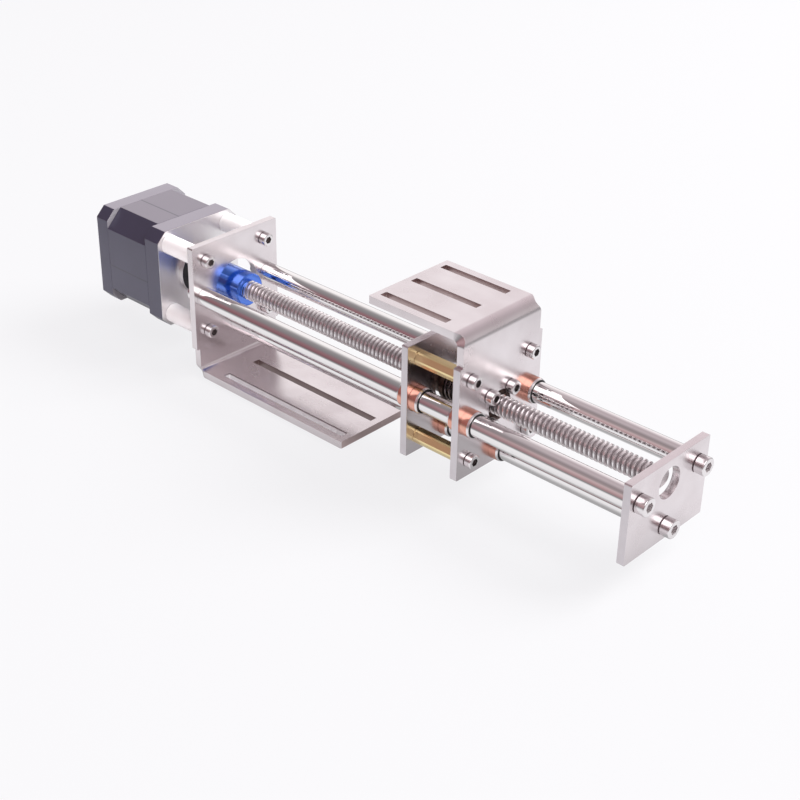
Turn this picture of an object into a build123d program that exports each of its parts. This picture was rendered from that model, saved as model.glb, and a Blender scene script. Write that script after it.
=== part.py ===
from build123d import *
import os
from math import hypot

os.makedirs("parts", exist_ok=True)

# Frame: X runs along the lead screw towards the end plate, Z is up and Y completes a right hand set.
# Origin: underside of the base plate, at the middle of its slot pattern.
axis_height = 35.0  # lead screw axis above the underside of the base

# Fits, all radial
seat_gap = 0.02  # parts pressed or clamped together
running_gap = 0.05  # parts that slide or turn in each other
bolt_gap = 0.2  # screw in a plain hole
tap_gap = 0.05  # screw in its tapped hole
air_gap = 0.3  # moving parts that pass each other

# Sheet metal
sheet = 3.0
bend_inner_radius = 2.0
bend_pinch = 1.2  # how far the sheet's edges draw in on the outside of a bend
pinch_length = 7.0  # round the bend
plate_width = 45.0
neck_step = 1.5  # each side of the plates, where they narrow towards the bend
plate_half_height = 22.5  # from the screw axis to the plates' outer edges
plate_corner = 0.6
slot_width = 3.2
slot_corner = 0.25  # the slots' ends are square, their corners barely eased
slot_pitch = 16.0
base_slot_length = 68.0
base_slot_setback = 10.0  # front face of the bracket to the slots' near end
base_slot_margin = 3.0  # slots' far end to the base's free end
table_slot_length = 31.0
table_slot_setback = 11.5  # front face of the carriage to the slots' near end
table_slot_margin = 2.5  # slots' far end to the table's free end

# Guide rods
rod_diameter = 8.0
rod_offset = 17.0
rod_length = 210.0
rod_chamfer = 0.4

# Screws
m3_shank = 3.0
m3_head = 5.5
m3_head_height = 3.0
m4_shank = 4.0
m4_head = 7.0
m4_head_height = 4.0
head_chamfer = 0.3
m3_bite = 6.0  # screw length inside a tapped standoff
m4_bite = 10.0  # screw length inside a rod
tap_depth = 12.0

# Motor
motor_length = 40.0
motor_hole_pitch = 31.0
motor_side_margin = 5.65  # hole centres to the motor's sides
motor_cap_chamfer = 4.1
motor_stack_chamfer = 7.4
motor_rear_cap_length = 7.0
motor_front_cap_length = 8.5
motor_boss_diameter = 22.0
motor_boss_height = 2.0
motor_boss_recess_diameter = 19.0
motor_boss_recess_depth = 1.5
motor_shaft_diameter = 5.0
motor_shaft_reach = 20.0  # shaft past the motor's front face
motor_tap_bite = 4.0
rotor_diameter = 26.0
bearing_diameter = 16.0
bearing_width = 4.8
case_screw_bite = 2.5
post_diameter = 8.0
post_length = 20.0

# Motor socket, on the side away from the base's near edge
socket_width = 16.0
socket_height = 5.8
socket_depth = 6.0
socket_proud = 3.0
socket_wall = 1.0
socket_floor = 1.5
socket_pins = 6
socket_pin_pitch = 2.0
socket_pin_size = 0.6

# Coupling and lead screw
coupling_diameter = 14.0
coupling_length = 22.0
coupling_front = 8.0  # past the bracket's front face
coupling_chamfer = 0.7
coupling_split = -3.0  # where the small bore meets the large one
coupling_end_gap = 0.3
grub_diameter = 3.0
grub_inset = 0.4
screw_diameter = 8.0
screw_end_past_rods = 0.5
bracket_bore = 22.0

# Carriage
carriage_front = 140.0  # front face of the carriage, from the bracket's front face
standoff_length = 21.3
standoff_flats = 5.5
standoff_offset = 16.0
bush_diameter = 10.0
bush_length = 10.0
bush_proud = 4.0
bush_chamfer = 0.3
lining_thickness = 0.5
front_plate_bore = 12.0
rear_plate_bore = 14.0

# Anti-backlash nut
nut_hole_circle = 16.0
nut_flange_diameter = 21.0
nut_flange_thickness = 3.5
nut_body_diameter = 10.2
nut_body_length = 12.0
nut_assembly_length = 30.0
nut_screw_bite = 3.0
slider_collar_diameter = 12.6
slider_collar_thickness = 2.0
slider_sleeve_length = 9.2
tongue_length = 5.5
tongue_width = 4.0
tongue_slot_length = 3.0
spring_wire = 0.9
spring_clear = 0.2
spring_turns = 7.5
spring_end_gap = 0.05

# End plate
end_plate_top = 9.0  # above the screw axis
end_plate_bore = 12.0

neck_width = plate_width - 2 * neck_step
pinch_radius = (pinch_length**2 / 4 + bend_pinch**2) / (2 * bend_pinch)
base_length = sheet + base_slot_setback + base_slot_length + base_slot_margin
table_length = table_slot_setback + table_slot_length + table_slot_margin
motor_size = motor_hole_pitch + 2 * motor_side_margin

# Positions along X
bracket_face = -base_slot_setback - base_slot_length / 2
bracket_back = bracket_face - sheet
motor_face = bracket_back - post_length
motor_rear = motor_face - motor_length
front_cap_back = motor_face - motor_front_cap_length
rear_cap_front = motor_rear + motor_rear_cap_length
coupling_start = bracket_face + coupling_front - coupling_length
coupling_step = bracket_face + coupling_split
end_plate_back = bracket_face + rod_length
front_plate_front = bracket_face + carriage_front
front_plate_back = front_plate_front - sheet
rear_plate_front = front_plate_back - standoff_length
rear_plate_back = rear_plate_front - sheet
nut_flange_back = front_plate_back - nut_flange_thickness
nut_body_back = nut_flange_back - nut_body_length
slider_back = front_plate_back - nut_assembly_length
slider_collar_back = slider_back + slider_sleeve_length
slider_collar_front = slider_collar_back + slider_collar_thickness

# Positions across the screw axis
motor_holes = [
    (side * motor_hole_pitch / 2, level * motor_hole_pitch / 2)
    for level in (1, -1)
    for side in (-1, 1)
]
standoff_places = [
    (side * standoff_offset, level * standoff_offset)
    for level in (1, -1)
    for side in (-1, 1)
]
rod_places = {"near": (-rod_offset, 0.0), "far": (rod_offset, 0.0), "bottom": (0.0, -rod_offset)}
nut_hole_offset = nut_hole_circle / 2 / hypot(1, 1)
nut_holes = [
    (side * nut_hole_offset, level * nut_hole_offset)
    for level in (1, -1)
    for side in (-1, 1)
]


def across(x):
    return Plane(origin=(x, 0, axis_height), x_dir=(0, 1, 0), z_dir=(1, 0, 0))


def pinch_plane(corner_x, corner_z, outward, side):
    bend_radius = bend_inner_radius + sheet
    inset = outward * bend_radius * (1 - 1 / hypot(1, 1))
    edge = side * (neck_width / 2 - bend_pinch + pinch_radius)
    lean = side * hypot(1, 1) * bend_pinch / sheet
    return Plane(origin=(corner_x - inset, edge, corner_z - inset), z_dir=(-outward, lean, -outward))


# Motor: rear cap with its screw pockets, bearing seat and the opening for its wire socket
socket_face = motor_size / 2 + socket_proud
socket_plane = Plane(
    origin=(rear_cap_front - socket_height / 2, socket_face, axis_height),
    x_dir=(1, 0, 0),
    z_dir=(0, 1, 0),
)
with BuildPart() as motor_rear_cap:
    with BuildSketch(across(motor_rear)) as rear_cap_outline:
        Rectangle(motor_size, motor_size)
        chamfer(rear_cap_outline.vertices(), motor_cap_chamfer)
    extrude(amount=motor_rear_cap_length)
    with BuildSketch(across(rear_cap_front)):
        Circle(bearing_diameter / 2 + seat_gap)
    extrude(amount=-bearing_width, mode=Mode.SUBTRACT)
    with BuildSketch(across(motor_rear)):
        with Locations(*motor_holes):
            Circle(m3_shank / 2 + bolt_gap)
    extrude(amount=motor_rear_cap_length, mode=Mode.SUBTRACT)
    with BuildSketch(across(motor_rear)):
        with Locations(*motor_holes):
            Circle(m3_head / 2 + bolt_gap)
    extrude(amount=m3_head_height, mode=Mode.SUBTRACT)
    with BuildSketch(socket_plane.offset(-socket_proud)):
        Rectangle(socket_height + 2 * seat_gap, socket_width + 2 * seat_gap)
    extrude(amount=socket_proud - socket_depth, mode=Mode.SUBTRACT)
motor_rear_cap.part.label = "motor_rear_cap"
export_step(motor_rear_cap.part, "parts/motor_rear_cap.step")

# Motor: stator stack, with the rotor's bore
with BuildPart() as motor_stack:
    with BuildSketch(across(rear_cap_front)) as stack_outline:
        Rectangle(motor_size, motor_size)
        chamfer(stack_outline.vertices(), motor_stack_chamfer)
        Circle(rotor_diameter / 2, mode=Mode.SUBTRACT)
        with Locations(*motor_holes):
            Circle(m3_shank / 2 + bolt_gap, mode=Mode.SUBTRACT)
    extrude(amount=front_cap_back - rear_cap_front)
motor_stack.part.label = "motor_stack"
export_step(motor_stack.part, "parts/motor_stack.step")

# Motor: front cap with its pilot boss, bearing seat and tapped holes
with BuildPart() as motor_front_cap:
    with BuildSketch(across(front_cap_back)) as front_cap_outline:
        Rectangle(motor_size, motor_size)
        chamfer(front_cap_outline.vertices(), motor_cap_chamfer)
    extrude(amount=motor_front_cap_length)
    with BuildSketch(across(motor_face)):
        Circle(motor_boss_diameter / 2)
    extrude(amount=motor_boss_height)
    with BuildSketch(across(motor_face + motor_boss_height)):
        Circle(motor_boss_recess_diameter / 2)
    extrude(amount=-motor_boss_recess_depth, mode=Mode.SUBTRACT)
    with BuildSketch(across(front_cap_back)):
        Circle(bearing_diameter / 2 + seat_gap)
    extrude(amount=bearing_width, mode=Mode.SUBTRACT)
    with BuildSketch(across(front_cap_back)):
        Circle(motor_shaft_diameter / 2 + air_gap)
    extrude(amount=motor_front_cap_length + motor_boss_height, mode=Mode.SUBTRACT)
    with BuildSketch(across(front_cap_back)):
        with Locations(*motor_holes):
            Circle(m3_shank / 2 + tap_gap)
    extrude(amount=motor_front_cap_length, mode=Mode.SUBTRACT)
motor_front_cap.part.label = "motor_front_cap"
export_step(motor_front_cap.part, "parts/motor_front_cap.step")

# Motor: one ball bearing in each cap, its bore grooved between the two rings
for bearing_name, bearing_x in (
    ("motor_bearing_rear", rear_cap_front - bearing_width),
    ("motor_bearing_front", front_cap_back),
):
    with BuildPart() as bearing:
        with BuildSketch(across(bearing_x)):
            Circle(bearing_diameter / 2)
            Circle(motor_shaft_diameter / 2 + running_gap, mode=Mode.SUBTRACT)
        extrude(amount=bearing_width)
        chamfer(bearing.edges().filter_by(GeomType.CIRCLE).group_by(SortBy.RADIUS)[-1], head_chamfer)
    bearing.part.label = bearing_name
    export_step(bearing.part, f"parts/{bearing_name}.step")

# Motor: rotor on its shaft
rotor_back = rear_cap_front + 2 * air_gap
rotor_front = front_cap_back - 2 * air_gap
with BuildPart() as motor_rotor:
    with BuildSketch(across(rotor_back)):
        Circle(rotor_diameter / 2 - air_gap)
        Circle(motor_shaft_diameter / 2 + seat_gap, mode=Mode.SUBTRACT)
    extrude(amount=rotor_front - rotor_back)
motor_rotor.part.label = "motor_rotor"
export_step(motor_rotor.part, "parts/motor_rotor.step")

shaft_back = rear_cap_front - bearing_width + air_gap
shaft_front = motor_face + motor_shaft_reach - coupling_end_gap
with BuildPart() as motor_shaft:
    with BuildSketch(across(shaft_back)):
        Circle(motor_shaft_diameter / 2)
    extrude(amount=shaft_front - shaft_back)
    chamfer(motor_shaft.edges().filter_by(GeomType.CIRCLE), head_chamfer)
motor_shaft.part.label = "motor_shaft"
export_step(motor_shaft.part, "parts/motor_shaft.step")

# Motor: case screws from the rear, sunk in the cap's pockets
with BuildPart() as motor_case_screws:
    with BuildSketch(across(motor_rear)):
        with Locations(*motor_holes):
            Circle(m3_head / 2)
    extrude(amount=m3_head_height)
    chamfer(motor_case_screws.edges().filter_by(GeomType.CIRCLE).group_by(Axis.X)[0], head_chamfer)
    with BuildSketch(across(motor_rear + m3_head_height)):
        with Locations(*motor_holes):
            Circle(m3_shank / 2)
    extrude(amount=front_cap_back + case_screw_bite - motor_rear - m3_head_height)
motor_case_screws.part.label = "motor_case_screws"
export_step(motor_case_screws.part, "parts/motor_case_screws.step")

# Motor: wire socket in the rear cap, with its row of pins
with BuildPart() as motor_socket:
    with BuildSketch(socket_plane):
        Rectangle(socket_height, socket_width)
    extrude(amount=-socket_depth)
    with BuildSketch(socket_plane):
        Rectangle(socket_height - 2 * socket_wall, socket_width - 2 * socket_wall)
    extrude(amount=socket_floor - socket_depth, mode=Mode.SUBTRACT)
    with BuildSketch(socket_plane.offset(socket_floor - socket_depth)):
        with GridLocations(0, socket_pin_pitch, 1, socket_pins):
            Rectangle(socket_pin_size, socket_pin_size)
    extrude(amount=socket_depth - socket_floor - socket_wall)
motor_socket.part.label = "motor_socket"
export_step(motor_socket.part, "parts/motor_socket.step")

# Round spacer posts between motor and bracket
for number, place in enumerate(motor_holes, start=1):
    with BuildPart() as post:
        with BuildSketch(across(motor_face)):
            with Locations(place):
                Circle(post_diameter / 2)
                Circle(m3_shank / 2 + bolt_gap, mode=Mode.SUBTRACT)
        extrude(amount=post_length)
        chamfer(post.edges().filter_by(GeomType.CIRCLE).group_by(SortBy.RADIUS)[-1], head_chamfer)
    post.part.label = f"post_{number}"
    export_step(post.part, f"parts/post_{number}.step")

# Motor bracket: one sheet, bent at the foot into the slotted base
with BuildPart() as motor_bracket:
    with BuildSketch(Plane.XZ) as bracket_profile:
        with Locations((bracket_back, 0)):
            Rectangle(base_length, axis_height + plate_half_height, align=(Align.MIN, Align.MIN))
        outer_corner = bracket_profile.vertices().group_by(Axis.X)[0].sort_by(Axis.Y)[0]
        fillet(outer_corner, bend_inner_radius + sheet)
    extrude(amount=plate_width / 2, both=True)
    with BuildSketch(Plane.XZ) as bracket_inside:
        with Locations((bracket_face, sheet)):
            Rectangle(base_length, axis_height + plate_half_height, align=(Align.MIN, Align.MIN))
        inner_corner = bracket_inside.vertices().group_by(Axis.X)[0].sort_by(Axis.Y)[0]
        fillet(inner_corner, bend_inner_radius)
    extrude(amount=plate_width / 2, both=True, mode=Mode.SUBTRACT)
    with BuildSketch(across(bracket_back)) as bracket_outline:
        Rectangle(plate_width, 2 * plate_half_height)
        with Locations((0, -axis_height)):
            Rectangle(neck_width, axis_height, align=(Align.CENTER, Align.MIN))
        plate_corners = bracket_outline.vertices().group_by(Axis.Y)[1:]
        fillet([corner for level in plate_corners for corner in level], plate_corner)
    extrude(amount=base_length, mode=Mode.INTERSECT)
    for side in (1, -1):
        with BuildSketch(pinch_plane(bracket_back, 0, -1, side)):
            Circle(pinch_radius)
        extrude(amount=2 * sheet, both=True, mode=Mode.SUBTRACT)
    with BuildSketch(Plane.XY) as base_slots:
        with GridLocations(0, slot_pitch, 1, 3):
            Rectangle(base_slot_length, slot_width)
        fillet(base_slots.vertices(), slot_corner)
    extrude(amount=sheet, mode=Mode.SUBTRACT)
    with BuildSketch(across(bracket_back)):
        Circle(bracket_bore / 2)
        with Locations(*motor_holes):
            Circle(m3_shank / 2 + bolt_gap)
        with Locations(*rod_places.values()):
            Circle(m4_shank / 2 + bolt_gap)
    extrude(amount=sheet, mode=Mode.SUBTRACT)
    fillet(motor_bracket.edges().filter_by(Axis.Z).group_by(Axis.X)[-1], plate_corner)
motor_bracket.part.label = "motor_bracket"
export_step(motor_bracket.part, "parts/motor_bracket.step")

# Screws through bracket and posts into the motor
with BuildPart() as motor_mount_screws:
    with BuildSketch(across(bracket_face)):
        with Locations(*motor_holes):
            Circle(m3_head / 2)
    extrude(amount=m3_head_height)
    chamfer(motor_mount_screws.edges().filter_by(GeomType.CIRCLE).group_by(Axis.X)[-1], head_chamfer)
    with BuildSketch(across(bracket_face)):
        with Locations(*motor_holes):
            Circle(m3_shank / 2)
    extrude(amount=-sheet - post_length - motor_tap_bite)
motor_mount_screws.part.label = "motor_mount_screws"
export_step(motor_mount_screws.part, "parts/motor_mount_screws.step")

# Guide rods, tapped at both ends
for rod_name, place in rod_places.items():
    with BuildPart() as rod:
        with BuildSketch(across(bracket_face)):
            with Locations(place):
                Circle(rod_diameter / 2)
        extrude(amount=rod_length)
        chamfer(rod.edges().filter_by(GeomType.CIRCLE), rod_chamfer)
        with BuildSketch(across(bracket_face), across(end_plate_back - tap_depth)):
            with Locations(place):
                Circle(m4_shank / 2 + tap_gap)
        extrude(amount=tap_depth, mode=Mode.SUBTRACT)
    rod.part.label = f"rod_{rod_name}"
    export_step(rod.part, f"parts/rod_{rod_name}.step")

# Screws that hold the rods to the bracket, from behind
with BuildPart() as bracket_rod_screws:
    with BuildSketch(across(bracket_back)):
        with Locations(*rod_places.values()):
            Circle(m4_head / 2)
    extrude(amount=-m4_head_height)
    chamfer(bracket_rod_screws.edges().filter_by(GeomType.CIRCLE).group_by(Axis.X)[0], head_chamfer)
    with BuildSketch(across(bracket_back)):
        with Locations(*rod_places.values()):
            Circle(m4_shank / 2)
    extrude(amount=sheet + m4_bite)
bracket_rod_screws.part.label = "bracket_rod_screws"
export_step(bracket_rod_screws.part, "parts/bracket_rod_screws.step")

# End plate and its screws
with BuildPart() as end_plate:
    with BuildSketch(across(end_plate_back)) as end_plate_outline:
        with Locations((0, -plate_half_height)):
            Rectangle(plate_width, plate_half_height + end_plate_top, align=(Align.CENTER, Align.MIN))
        fillet(end_plate_outline.vertices(), plate_corner)
        Circle(end_plate_bore / 2, mode=Mode.SUBTRACT)
        with Locations(*rod_places.values()):
            Circle(m4_shank / 2 + bolt_gap, mode=Mode.SUBTRACT)
    extrude(amount=sheet)
end_plate.part.label = "end_plate"
export_step(end_plate.part, "parts/end_plate.step")

with BuildPart() as end_plate_screws:
    with BuildSketch(across(end_plate_back + sheet)):
        with Locations(*rod_places.values()):
            Circle(m4_head / 2)
    extrude(amount=m4_head_height)
    chamfer(end_plate_screws.edges().filter_by(GeomType.CIRCLE).group_by(Axis.X)[-1], head_chamfer)
    with BuildSketch(across(end_plate_back + sheet)):
        with Locations(*rod_places.values()):
            Circle(m4_shank / 2)
    extrude(amount=-sheet - m4_bite)
end_plate_screws.part.label = "end_plate_screws"
export_step(end_plate_screws.part, "parts/end_plate_screws.step")

# Coupling: stepped bore for the motor's shaft and the lead screw, tapped for its grub screws
grub_stations = [
    ((coupling_start + coupling_step) / 2, motor_shaft_diameter),
    ((coupling_step + bracket_face + coupling_front) / 2, screw_diameter),
]
grub_directions = [(0, 1, 0), (0, 0, -1)]
with BuildPart() as coupling:
    with BuildSketch(across(coupling_start)):
        Circle(coupling_diameter / 2)
    extrude(amount=coupling_length)
    chamfer(coupling.edges().filter_by(GeomType.CIRCLE), coupling_chamfer)
    with BuildSketch(across(coupling_start)):
        Circle(motor_shaft_diameter / 2 + seat_gap)
    extrude(amount=coupling_step - coupling_start, mode=Mode.SUBTRACT)
    with BuildSketch(across(coupling_step)):
        Circle(screw_diameter / 2 + seat_gap)
    extrude(amount=coupling_length, mode=Mode.SUBTRACT)
    for station, bore in grub_stations:
        for direction in grub_directions:
            with BuildSketch(Plane(origin=(station, 0, axis_height), x_dir=(1, 0, 0), z_dir=direction)):
                Circle(grub_diameter / 2 + tap_gap)
            extrude(amount=coupling_diameter, mode=Mode.SUBTRACT)
coupling.part.label = "coupling"
export_step(coupling.part, "parts/coupling.step")

with BuildPart() as coupling_grub_screws:
    for station, bore in grub_stations:
        for direction in grub_directions:
            grub_plane = Plane(origin=(station, 0, axis_height), x_dir=(1, 0, 0), z_dir=direction)
            with BuildSketch(grub_plane.offset(bore / 2 + seat_gap)):
                Circle(grub_diameter / 2)
            extrude(amount=coupling_diameter / 2 - bore / 2 - grub_inset)
coupling_grub_screws.part.label = "coupling_grub_screws"
export_step(coupling_grub_screws.part, "parts/coupling_grub_screws.step")

# Lead screw, drawn at its outside diameter
screw_start = coupling_step + coupling_end_gap
screw_end = end_plate_back + screw_end_past_rods
with BuildPart() as lead_screw:
    with BuildSketch(across(screw_start)):
        Circle(screw_diameter / 2)
    extrude(amount=screw_end - screw_start)
    chamfer(lead_screw.edges().filter_by(GeomType.CIRCLE), rod_chamfer)
lead_screw.part.label = "lead_screw"
export_step(lead_screw.part, "parts/lead_screw.step")

# Carriage: flat rear plate
with BuildPart() as carriage_rear_plate:
    with BuildSketch(across(rear_plate_back)) as rear_plate_outline:
        Rectangle(plate_width, 2 * plate_half_height)
        fillet(rear_plate_outline.vertices(), plate_corner)
        Circle(rear_plate_bore / 2, mode=Mode.SUBTRACT)
        with Locations(*rod_places.values()):
            Circle(bush_diameter / 2 + seat_gap, mode=Mode.SUBTRACT)
        with Locations(*standoff_places):
            Circle(m3_shank / 2 + bolt_gap, mode=Mode.SUBTRACT)
    extrude(amount=sheet)
carriage_rear_plate.part.label = "carriage_rear_plate"
export_step(carriage_rear_plate.part, "parts/carriage_rear_plate.step")

# Carriage: front plate, one sheet bent at the top into the slotted table
table_top = 2 * axis_height
table_back = front_plate_front - table_length
table_slot_x = front_plate_front - table_slot_setback - table_slot_length / 2
with BuildPart() as carriage_front_plate:
    with BuildSketch(Plane.XZ) as table_profile:
        with Locations((front_plate_front, table_top)):
            Rectangle(table_length, axis_height + plate_half_height, align=(Align.MAX, Align.MAX))
        outer_corner = table_profile.vertices().group_by(Axis.X)[-1].sort_by(Axis.Y)[-1]
        fillet(outer_corner, bend_inner_radius + sheet)
    extrude(amount=plate_width / 2, both=True)
    with BuildSketch(Plane.XZ) as table_inside:
        with Locations((front_plate_back, table_top - sheet)):
            Rectangle(table_length, axis_height + plate_half_height, align=(Align.MAX, Align.MAX))
        inner_corner = table_inside.vertices().group_by(Axis.X)[-1].sort_by(Axis.Y)[-1]
        fillet(inner_corner, bend_inner_radius)
    extrude(amount=plate_width / 2, both=True, mode=Mode.SUBTRACT)
    with BuildSketch(across(table_back)) as front_plate_outline:
        Rectangle(plate_width, 2 * plate_half_height)
        with Locations((0, axis_height)):
            Rectangle(neck_width, axis_height, align=(Align.CENTER, Align.MAX))
        plate_corners = front_plate_outline.vertices().group_by(Axis.Y)[:-1]
        fillet([corner for level in plate_corners for corner in level], plate_corner)
    extrude(amount=table_length, mode=Mode.INTERSECT)
    for side in (1, -1):
        with BuildSketch(pinch_plane(front_plate_front, table_top, 1, side)):
            Circle(pinch_radius)
        extrude(amount=2 * sheet, both=True, mode=Mode.SUBTRACT)
    with BuildSketch(Plane.XY.offset(table_top)) as table_slots:
        with Locations((table_slot_x, 0)):
            with GridLocations(0, slot_pitch, 1, 3):
                Rectangle(table_slot_length, slot_width)
        fillet(table_slots.vertices(), slot_corner)
    extrude(amount=-sheet, mode=Mode.SUBTRACT)
    with BuildSketch(across(front_plate_back)):
        Circle(front_plate_bore / 2)
        with Locations(*rod_places.values()):
            Circle(bush_diameter / 2 + seat_gap)
        with Locations(*standoff_places):
            Circle(m3_shank / 2 + bolt_gap)
        with Locations(*nut_holes):
            Circle(m3_shank / 2 + bolt_gap)
    extrude(amount=sheet, mode=Mode.SUBTRACT)
    fillet(carriage_front_plate.edges().filter_by(Axis.Z).group_by(Axis.X)[0], plate_corner)
carriage_front_plate.part.label = "carriage_front_plate"
export_step(carriage_front_plate.part, "parts/carriage_front_plate.step")

# Carriage: a bush with its black lining on each rod, in each plate
lining_outer = rod_diameter / 2 + running_gap + lining_thickness
for plate_name, plate_front in (("front", front_plate_front), ("rear", rear_plate_front)):
    bush_start = plate_front + bush_proud - bush_length
    for rod_name, place in rod_places.items():
        with BuildPart() as bush:
            with BuildSketch(across(bush_start)):
                with Locations(place):
                    Circle(bush_diameter / 2)
                    Circle(lining_outer + seat_gap, mode=Mode.SUBTRACT)
            extrude(amount=bush_length)
            chamfer(bush.edges().filter_by(GeomType.CIRCLE).group_by(SortBy.RADIUS)[-1], bush_chamfer)
        bush.part.label = f"bush_{plate_name}_{rod_name}"
        export_step(bush.part, f"parts/bush_{plate_name}_{rod_name}.step")
        with BuildPart() as lining:
            with BuildSketch(across(bush_start)):
                with Locations(place):
                    Circle(lining_outer)
                    Circle(rod_diameter / 2 + running_gap, mode=Mode.SUBTRACT)
            extrude(amount=bush_length)
        lining.part.label = f"lining_{plate_name}_{rod_name}"
        export_step(lining.part, f"parts/lining_{plate_name}_{rod_name}.step")

# Carriage: hexagonal standoffs between the plates
for number, place in enumerate(standoff_places, start=1):
    with BuildPart() as standoff:
        with BuildSketch(across(rear_plate_front)):
            with Locations(place):
                RegularPolygon(standoff_flats / 2, 6, major_radius=False)
                Circle(m3_shank / 2 + tap_gap, mode=Mode.SUBTRACT)
        extrude(amount=standoff_length)
    standoff.part.label = f"standoff_{number}"
    export_step(standoff.part, f"parts/standoff_{number}.step")

# Carriage: cap screws into the standoffs, one set on each plate
for screws_name, head_plane_x, outward in (
    ("standoff_screws_front", front_plate_front, 1),
    ("standoff_screws_rear", rear_plate_back, -1),
):
    with BuildPart() as standoff_screws:
        with BuildSketch(across(head_plane_x)):
            with Locations(*standoff_places):
                Circle(m3_head / 2)
        extrude(amount=outward * m3_head_height)
        head_edges = standoff_screws.edges().filter_by(GeomType.CIRCLE).group_by(Axis.X)
        chamfer(head_edges[-1] if outward > 0 else head_edges[0], head_chamfer)
        with BuildSketch(across(head_plane_x)):
            with Locations(*standoff_places):
                Circle(m3_shank / 2)
        extrude(amount=-outward * (sheet + m3_bite))
    standoff_screws.part.label = screws_name
    export_step(standoff_screws.part, f"parts/{screws_name}.step")

# Anti-backlash nut: flanged nut, its body slotted for the sliding nut's tongues
tongue_inner = screw_diameter / 2 + air_gap
with BuildPart() as nut_main:
    with BuildSketch(across(nut_flange_back)):
        Circle(nut_flange_diameter / 2)
        with Locations(*nut_holes):
            Circle(m3_shank / 2 + tap_gap, mode=Mode.SUBTRACT)
    extrude(amount=nut_flange_thickness)
    with BuildSketch(across(nut_body_back)):
        Circle(nut_body_diameter / 2)
    extrude(amount=nut_body_length)
    with BuildSketch(across(nut_body_back)):
        Circle(screw_diameter / 2 + running_gap)
    extrude(amount=nut_body_length + nut_flange_thickness, mode=Mode.SUBTRACT)
    with BuildSketch(across(nut_body_back)):
        Rectangle(tongue_width + 2 * air_gap, nut_body_diameter)
    extrude(amount=tongue_slot_length, mode=Mode.SUBTRACT)
nut_main.part.label = "nut_main"
export_step(nut_main.part, "parts/nut_main.step")

# Anti-backlash nut: sliding nut with its collar and two tongues
with BuildPart() as nut_slider:
    with BuildSketch(across(slider_back)):
        Circle(nut_body_diameter / 2)
    extrude(amount=slider_sleeve_length)
    with BuildSketch(across(slider_collar_back)):
        Circle(slider_collar_diameter / 2)
    extrude(amount=slider_collar_thickness)
    with BuildSketch(across(slider_back)):
        Circle(screw_diameter / 2 + running_gap)
    extrude(amount=slider_sleeve_length + slider_collar_thickness, mode=Mode.SUBTRACT)
    with BuildSketch(across(slider_collar_front)):
        Circle(nut_body_diameter / 2)
        Circle(tongue_inner, mode=Mode.SUBTRACT)
        Rectangle(tongue_width, nut_body_diameter, mode=Mode.INTERSECT)
    extrude(amount=tongue_length)
nut_slider.part.label = "nut_slider"
export_step(nut_slider.part, "parts/nut_slider.step")

# Anti-backlash nut: preload spring round the nut's body
spring_radius = nut_body_diameter / 2 + spring_clear + spring_wire / 2
spring_start = slider_collar_front + spring_end_gap + spring_wire / 2
spring_end = nut_flange_back - spring_end_gap - spring_wire / 2
spring_length = spring_end - spring_start
with BuildPart() as nut_spring:
    with BuildLine():
        coil = Helix(
            spring_length / spring_turns,
            spring_length,
            spring_radius,
            center=(spring_start, 0, axis_height),
            direction=(1, 0, 0),
        )
    with BuildSketch(Plane(origin=coil @ 0, z_dir=coil % 0)):
        Circle(spring_wire / 2)
    sweep(path=coil, is_frenet=True)
nut_spring.part.label = "nut_spring"
export_step(nut_spring.part, "parts/nut_spring.step")

# Screws through the front plate into the nut's flange
with BuildPart() as nut_screws:
    with BuildSketch(across(front_plate_front)):
        with Locations(*nut_holes):
            Circle(m3_head / 2)
    extrude(amount=m3_head_height)
    chamfer(nut_screws.edges().filter_by(GeomType.CIRCLE).group_by(Axis.X)[-1], head_chamfer)
    with BuildSketch(across(front_plate_front)):
        with Locations(*nut_holes):
            Circle(m3_shank / 2)
    extrude(amount=-sheet - nut_screw_bite)
nut_screws.part.label = "nut_screws"
export_step(nut_screws.part, "parts/nut_screws.step")
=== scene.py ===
import math
import bpy
import bmesh
from mathutils import Matrix, Vector


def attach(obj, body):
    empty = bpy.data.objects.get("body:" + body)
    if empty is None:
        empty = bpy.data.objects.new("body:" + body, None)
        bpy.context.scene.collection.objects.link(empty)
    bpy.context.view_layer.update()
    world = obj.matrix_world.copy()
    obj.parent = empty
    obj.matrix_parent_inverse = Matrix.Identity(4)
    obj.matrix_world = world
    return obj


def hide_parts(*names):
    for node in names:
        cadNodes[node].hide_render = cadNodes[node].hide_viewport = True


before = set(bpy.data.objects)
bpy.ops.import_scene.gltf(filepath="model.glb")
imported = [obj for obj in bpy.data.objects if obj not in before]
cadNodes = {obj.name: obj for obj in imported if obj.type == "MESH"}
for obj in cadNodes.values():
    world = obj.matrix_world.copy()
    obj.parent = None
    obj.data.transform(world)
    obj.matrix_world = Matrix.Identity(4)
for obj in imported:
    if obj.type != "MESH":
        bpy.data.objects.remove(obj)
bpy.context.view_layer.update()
mm = 0.001
print("frame loaded:", len(cadNodes), "nodes")

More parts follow.
